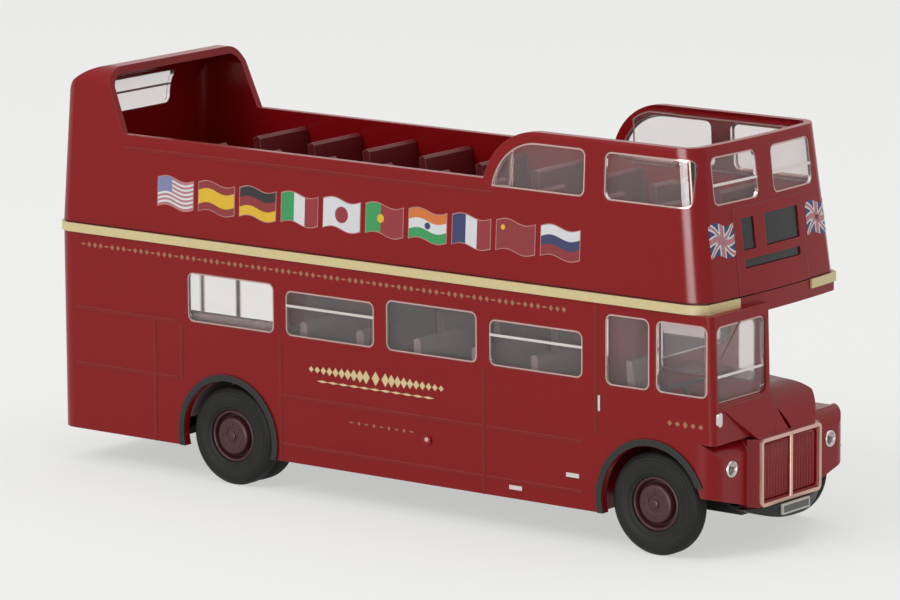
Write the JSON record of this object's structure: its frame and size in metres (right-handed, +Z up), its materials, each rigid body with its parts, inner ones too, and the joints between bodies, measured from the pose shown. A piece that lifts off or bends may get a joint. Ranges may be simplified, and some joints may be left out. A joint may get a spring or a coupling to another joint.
{
  "type": "scale model open-top double decker bus",
  "caption": "Scale model of an open-top half-cab double decker bus: hollow red body with glazing, seats on both decks, open rear platform and wheels that roll on their axles.",
  "frame": {"origin": "on the ground under the middle of the overall box", "axes": "+X forward, +Y to the nearside (left), +Z up"},
  "size_m": [0.098, 0.028, 0.048],
  "materials": {
    "body_red": "semi-gloss moulded plastic",
    "cream_band": "printed satin",
    "black_trim": "matt moulded plastic",
    "silver_trim": "printed silver",
    "plate": "blank",
    "glazing": "clear moulded polystyrene",
    "deck": "matt moulded plastic",
    "interior": "matt moulded plastic",
    "tyre": "moulded black",
    "rim": "satin moulded plastic",
    "steel": "drawn wire",
    "red_lamp": "printed"
  },
  "bodies": {
    "bus": {"lower_body": "body_red", "upper_body": "body_red", "bonnet": "body_red", "waist_band": "cream_band", "arch_lips": "black_trim", "grille_slats": "body_red", "grille_frame": "cream_band", "headlamps": "silver_trim", "side_lamp": "silver_trim", "front_bumper": "black_trim", "front_plate": "plate", "offside_glazing": "glazing", "nearside_glazing": "glazing", "cab_glazing": "glazing", "bulkhead_glazing": "glazing", "upper_glazing": "glazing", "rear_window": "glazing", "destination_blinds": "black_trim", "upper_floor": "deck", "upper_seats": "deck", "lower_floor": "interior", "lower_seats": "interior", "staircase": "deck", "platform_pole": "silver_trim", "driver_seat": "interior", "steering_wheel": "black_trim", "chassis": "black_trim", "rear_lamp": "red_lamp", "filler_cap": "silver_trim", "step_plates": "silver_trim", "door_handle": "silver_trim", "window_bars": "silver_trim"},
    "front_wheels": {"front_axle": "steel", "front_rim_offside": "rim", "front_rim_nearside": "rim", "front_tyre_offside": "tyre", "front_tyre_nearside": "tyre"},
    "rear_wheels": {"rear_axle": "steel", "rear_rim_offside": "rim", "rear_rim_nearside": "rim", "rear_tyre_offside": "tyre", "rear_tyre_nearside": "tyre"}
  },
  "joints": [
    {"name": "front_wheels_roll", "type": "hinge", "parent": "bus", "child": "front_wheels", "pos_m": [0.0387, 0, 0.0059], "axis": [0, 1, 0], "continuous": true},
    {"name": "rear_wheels_roll", "type": "hinge", "parent": "bus", "child": "rear_wheels", "pos_m": [-0.0223, 0, 0.0059], "axis": [0, 1, 0], "continuous": true}
  ]
}
